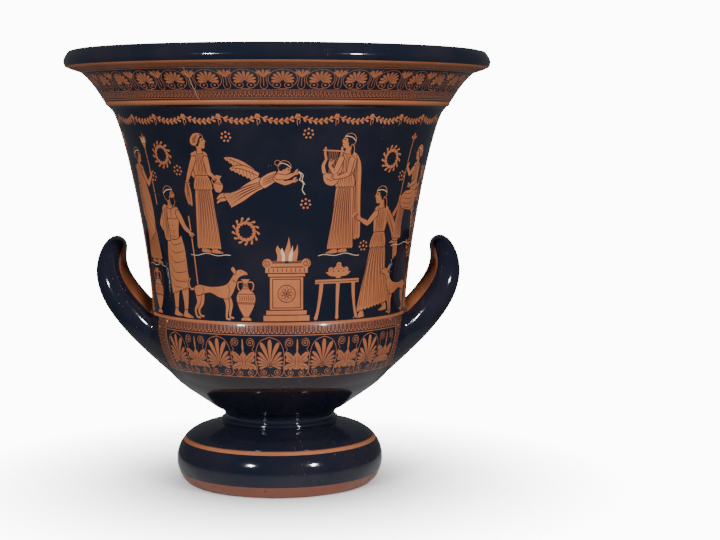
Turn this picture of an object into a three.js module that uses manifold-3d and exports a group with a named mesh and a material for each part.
// A Greek calyx krater: a wide mixing bowl of fired clay with a flaring mouth and two upright loop handles.
// The pot is one fired piece. Units are millimetres, +Z is up, and the origin is the centre of the
// resting face. The painted fronts face -Y and +Y, and the handles stand at -X and +X.
import * as THREE from 'three';
import { mergeVertices } from 'three/addons/utils/BufferGeometryUtils.js';
import Module from 'manifold-3d';

// Foot: a rounded disc on a plain ring, hollow below
const footRadius = 135.5;
const footHeight = 72;
const footRoundRadius = 42; // of the disc's rounded side
const footRoundTurn = 82; // degrees of the rounded side above its widest level
const footWidestHeight = 30; // of the disc's widest level
const footEdgeHeight = 4; // of the bevel at the resting face
const footEdgeWidth = 4.5;
const footRingWidth = 17; // of the resting face

// Stem: the narrow neck between foot and bowl
const ringHeight = 6; // of the small raised ring at the stem's base
const ringRise = 6; // of the ring's underside above the disc
const ringProjection = 2.5;
const ringHollow = 7; // width of the hollow slope at the ring's foot
const stemRadius = 72;
const stemWall = 23;
const stemHeight = 4; // of the upright stretch above the ring
const stemFlareHeight = 10; // of the hollow curve that opens into the bowl
const stemFlareWidth = 11;

// Bowl: the bulging lower part that carries the handles
const bowlRadius = 170;
const bowlRoundRadius = 114; // of the bulge
const bowlRoundTurn = 55; // degrees of the bulge below its widest level
const bowlShoulderHeight = 8; // from the widest level to the ledge
const ledgeWidth = 4;

// Wall: the tall picture zone, upright below and curling outwards above
const wallHeight = 263;
const wallTopRadius = 218.5;
const wallUprightPull = 66; // how far the foot of the wall stays upright
const wallCurlDrop = 4.6; // how far below its top the wall's curl begins to level out
const wallCurlWidth = 17; // how far the curl's last stretch reaches outwards

// Flare: a small moulding and the curved band below the lip
const mouldingHeight = 6;
const mouldingProjection = 3;
const flareHeight = 37;
const flareFootStep = 5; // how far the flare's foot stands outside the wall's top
const flareTopRadius = 253;
const flareLean = 8.4; // outward reach of the flare's first third
const flareCurl = 15; // outward reach of the flare's last third

// Lip: the rounded black rim that overhangs the flare
const lipRadius = 275;
const lipHeight = 22; // of the lip's face
const lipUndercut = 6; // height of the sloping underside
const lipBulge = 7; // how far the face swells beyond its top edge
const lipTopWidth = 22;
const lipRoundWidth = 6; // of the rounding between face and top
const lipTopFall = 6; // of the top towards the mouth

// Inside
const wallThickness = 9;
const flareThickness = 11;
const floorThickness = 25;

// Handles: a roll of clay bent into a loop that rises outwards and hooks in again at its top
const handleArchRadius = 12.5; // of the roll at the top of the loop
const handleRootRadius = 20; // of the roll where it joins the bowl
const handleRootDrop = 55; // of the root's centre below the bowl's widest level
const handleRootDepth = 23; // of the root's centre inside the bowl's surface
const handleRootSpan = 64; // between the centres of the two roots
const handleSpan = 132; // between the centres of the two limbs at their widest
const handleReach = 66; // of the control point that draws the limbs outwards, beyond the bowl
const handleRise = 146; // from the root's centre to the arch's centre
const handleHook = 24; // of the arch inwards from that control point
const handleSquareness = 2.6; // exponent of the loop's curve: 2 is round, more is squarer

// Facets
const turnSegments = 56;
const rollSides = 12;
const rollSteps = 26;
const curveSteps = 6;

const wasm = await Module();
wasm.setup();

const point = (radius, height) => new THREE.Vector2(radius, height);
const degrees = THREE.MathUtils.degToRad;

// Levels of the profile, worked upwards from the resting face
const ringBottom = footHeight + ringRise;
const ringTop = ringBottom + ringHeight;
const stemTop = ringTop + stemHeight;
const stemFlareTop = stemTop + stemFlareHeight;
const bulgeCentreRadius = bowlRadius - bowlRoundRadius;
const bulgeFootRadius = bulgeCentreRadius + bowlRoundRadius * Math.cos(degrees(bowlRoundTurn));
const bulgeDrop = bowlRoundRadius * Math.sin(degrees(bowlRoundTurn));
const coneSlope = Math.tan(degrees(90 - bowlRoundTurn)); // the bowl's straight stretch continues the bulge
const stemFlareRadius = stemRadius + stemFlareWidth;
const bulgeFootLevel = stemFlareTop + (bulgeFootRadius - stemFlareRadius) * coneSlope;
const widestLevel = bulgeFootLevel + bulgeDrop;
const ledgeLevel = widestLevel + bowlShoulderHeight;
const wallTopLevel = ledgeLevel + wallHeight;
const flareFootLevel = wallTopLevel + mouldingHeight;
const flareTopLevel = flareFootLevel + flareHeight;
const lipBottomLevel = flareTopLevel + lipUndercut;
const topLevel = lipBottomLevel + lipHeight;

// Radius of the bulge at a level, also used to seat the handles and to offset the inside
function bulgeRadiusAt(level, roundRadius = bowlRoundRadius) {
  const rise = Math.min(Math.abs(level - widestLevel), roundRadius * 0.999);
  return bulgeCentreRadius + Math.sqrt(roundRadius ** 2 - rise ** 2);
}

const ledgeOuterRadius = bulgeRadiusAt(ledgeLevel);
const wallFootRadius = ledgeOuterRadius - ledgeWidth;
const innerRoundRadius = bowlRoundRadius - ledgeWidth - wallThickness;
const floorLevel = widestLevel - innerRoundRadius;
const lipTopRadius = lipRadius - lipBulge;
const mouthRadius = lipTopRadius - lipTopWidth;

// Points along a circular arc, its angles in degrees from the outward radius
function arcPoints(centreRadius, centreLevel, radius, fromAngle, toAngle, steps) {
  return Array.from({ length: steps + 1 }, (_, i) => {
    const angle = degrees(fromAngle + ((toAngle - fromAngle) * i) / steps);
    return point(centreRadius + radius * Math.cos(angle), centreLevel + radius * Math.sin(angle));
  });
}

const bezierPoints = (points, steps) => new THREE.CubicBezierCurve(...points).getPoints(steps);

// The picture wall, moved inwards by inset for the inside
function wallPoints(inset, steps) {
  const foot = wallFootRadius - inset;
  const top = wallTopRadius - inset;
  return bezierPoints([
    point(foot, ledgeLevel),
    point(foot, ledgeLevel + wallUprightPull),
    point(top - wallCurlWidth, wallTopLevel - wallCurlDrop),
    point(top, wallTopLevel),
  ], steps);
}

// The curved band under the lip, moved inwards by inset for the inside
function flarePoints(inset, steps) {
  const foot = wallTopRadius + flareFootStep - inset;
  const top = flareTopRadius - inset;
  return bezierPoints([
    point(foot, flareFootLevel),
    point(foot + flareLean, flareFootLevel + flareHeight / 3),
    point(top - flareCurl, flareTopLevel - flareHeight / 3),
    point(top, flareTopLevel),
  ], steps);
}

function footPoints() {
  const discCentre = footRadius - footRoundRadius;
  const edgeTurn = THREE.MathUtils.radToDeg(Math.asin((footWidestHeight - footEdgeHeight) / footRoundRadius));
  const side = arcPoints(discCentre, footWidestHeight, footRoundRadius, -edgeTurn, footRoundTurn, curveSteps + 2);
  return [
    point(side[0].x - footEdgeWidth, 0),
    ...side,
    point(stemRadius + ringProjection + ringHollow, ringBottom - ringRise / 8),
    point(stemRadius + ringProjection, ringBottom),
  ];
}

function stemPoints() {
  const ringRadius = stemRadius + ringProjection;
  const flare = new THREE.QuadraticBezierCurve(
    point(stemRadius, stemTop),
    point(stemRadius + 1, stemFlareTop - stemFlareHeight / 3),
    point(stemFlareRadius, stemFlareTop),
  );
  return [
    point(ringRadius + 1, ringBottom + ringHeight / 2),
    point(ringRadius, ringTop),
    ...flare.getPoints(4),
  ];
}

function mouldingPoints() {
  const middle = wallTopLevel + mouldingHeight / 2;
  return [
    point(wallTopRadius + mouldingProjection * 0.8, middle - mouldingHeight / 4),
    point(wallTopRadius + mouldingProjection, middle + mouldingHeight / 6),
  ];
}

function lipPoints() {
  const face = new THREE.QuadraticBezierCurve(
    point(lipRadius - lipBulge / 2, lipBottomLevel),
    point(lipRadius + lipBulge * 0.75, lipBottomLevel + lipHeight * 0.35),
    point(lipTopRadius, topLevel - 1.5),
  );
  return [
    ...face.getPoints(4),
    point(lipTopRadius - lipRoundWidth, topLevel),
    point(mouthRadius, topLevel - lipTopFall),
  ];
}

// The whole outside, from the axis at the resting face to the axis at the top
function outsideProfile() {
  return [
    point(0, 0),
    ...footPoints(),
    ...stemPoints(),
    ...arcPoints(bulgeCentreRadius, widestLevel, bowlRoundRadius, -bowlRoundTurn, 0, curveSteps),
    point(ledgeOuterRadius, ledgeLevel - 1),
    point(ledgeOuterRadius - 1, ledgeLevel),
    ...wallPoints(0, curveSteps + 2),
    ...mouldingPoints(),
    ...flarePoints(0, 4),
    ...lipPoints(),
    point(0, topLevel - lipTopFall),
  ];
}

// The room inside the pot, from the axis on the floor to the axis above the lip
function insideProfile() {
  return [
    point(0, floorLevel),
    ...arcPoints(bulgeCentreRadius, widestLevel, innerRoundRadius, -90, 0, curveSteps),
    ...wallPoints(wallThickness, curveSteps),
    ...flarePoints(flareThickness, 3).slice(1),
    point(mouthRadius, topLevel - lipTopFall),
    point(mouthRadius, topLevel + 10),
    point(0, topLevel + 10),
  ];
}

// The hollow under the foot, from the axis below the resting face to the axis at its top
function footHollowProfile() {
  const mouth = footPoints()[0].x - footRingWidth;
  const shaft = stemRadius - stemWall;
  const hollowTop = floorLevel - floorThickness;
  const side = new THREE.QuadraticBezierCurve(
    point(mouth, footWidestHeight),
    point(mouth, footHeight - 10),
    point(shaft, footHeight),
  );
  return [
    point(0, -10),
    point(mouth, -10),
    ...side.getPoints(4),
    point(shaft * 0.9, hollowTop - 4),
    point(0, hollowTop),
  ];
}

// Turns a profile of radii and heights about the Z axis into a solid
function turned(profile) {
  const geometry = new THREE.LatheGeometry(profile, turnSegments);
  geometry.rotateX(Math.PI / 2);
  return solid(geometry);
}

function solid(geometry) {
  geometry.deleteAttribute('normal');
  geometry.deleteAttribute('uv');
  const merged = mergeVertices(geometry, 1e-3);
  return new wasm.Manifold(new wasm.Mesh({
    numProp: 3,
    vertProperties: merged.attributes.position.array,
    triVerts: new Uint32Array(merged.index.array),
  }));
}

// The centre line of one handle's loop: a superellipse drawn on a curved rising path. Side is 1 or -1 along X.
class HandleLoop extends THREE.Curve {
  constructor(side) {
    super();
    this.side = side;
    const rootLevel = widestLevel - handleRootDrop;
    const rootRadius = bulgeRadiusAt(rootLevel);
    const rootOut = Math.sqrt(rootRadius ** 2 - (handleRootSpan / 2) ** 2) - handleRootDepth;
    const limbOut = bowlRadius + handleReach;
    this.path = new THREE.CubicBezierCurve(
      point(rootOut, rootLevel),
      point(rootOut + (limbOut - rootOut) * 0.47, rootLevel + handleRise * 0.37),
      point(limbOut, rootLevel + handleRise * 0.66),
      point(limbOut - handleHook, rootLevel + handleRise),
    );
  }

  getPoint(t, target = new THREE.Vector3()) {
    const angle = Math.PI * t;
    const across = Math.abs(Math.cos(angle)) ** (2 / handleSquareness) * Math.sign(Math.cos(angle));
    const along = Math.abs(Math.sin(angle)) ** (2 / handleSquareness);
    const spread = handleSpan - (handleSpan - handleRootSpan) * (1 - along) ** 3;
    const onPath = this.path.getPointAt(Math.min(along, 1));
    return target.set(this.side * onPath.x, (across * spread) / 2, onPath.y);
  }
}

// A closed roll of clay along a loop, thicker towards its two roots
function roll(loop) {
  const positions = [];
  const frames = loop.computeFrenetFrames(rollSteps, false);
  const ringAt = (i) => {
    const centre = loop.getPointAt(i / rollSteps);
    const fromMiddle = Math.abs((2 * i) / rollSteps - 1);
    const swell = Math.sin((fromMiddle * Math.PI) / 2);
    const radius = handleArchRadius + (handleRootRadius - handleArchRadius) * swell;
    return Array.from({ length: rollSides }, (_, k) => {
      const angle = (2 * Math.PI * k) / rollSides;
      return centre.clone()
        .addScaledVector(frames.normals[i], radius * Math.cos(angle))
        .addScaledVector(frames.binormals[i], radius * Math.sin(angle));
    });
  };
  const rings = Array.from({ length: rollSteps + 1 }, (_, i) => ringAt(i));
  const triangle = (...corners) => corners.forEach((c) => positions.push(c.x, c.y, c.z));
  for (let i = 0; i < rollSteps; i += 1) {
    for (let k = 0; k < rollSides; k += 1) {
      const next = (k + 1) % rollSides;
      triangle(rings[i][k], rings[i][next], rings[i + 1][next]);
      triangle(rings[i][k], rings[i + 1][next], rings[i + 1][k]);
    }
  }
  [0, rollSteps].forEach((i) => {
    for (let k = 1; k < rollSides - 1; k += 1) {
      const fan = [rings[i][0], rings[i][k], rings[i][k + 1]];
      triangle(...(i === 0 ? fan.reverse() : fan));
    }
  });
  const geometry = new THREE.BufferGeometry();
  geometry.setAttribute('position', new THREE.Float32BufferAttribute(positions, 3));
  return solid(geometry);
}

function geometryOf(manifold) {
  const mesh = manifold.getMesh();
  const geometry = new THREE.BufferGeometry();
  geometry.setAttribute('position', new THREE.BufferAttribute(new Float32Array(mesh.vertProperties), 3));
  geometry.setIndex(new THREE.BufferAttribute(new Uint32Array(mesh.triVerts), 1));
  geometry.computeVertexNormals();
  return geometry;
}

const firedClay = new THREE.MeshStandardMaterial({
  name: 'black_gloss_fired_clay',
  color: 0x17141b,
  roughness: 0.25,
  metalness: 0,
});

const pot = [1, -1]
  .reduce((body, side) => body.add(roll(new HandleLoop(side))), turned(outsideProfile()))
  .subtract(turned(insideProfile()))
  .subtract(turned(footHollowProfile()));

const krater = new THREE.Mesh(geometryOf(pot), firedClay);
krater.name = 'krater';

const group = new THREE.Group();
group.add(krater);

export default group;
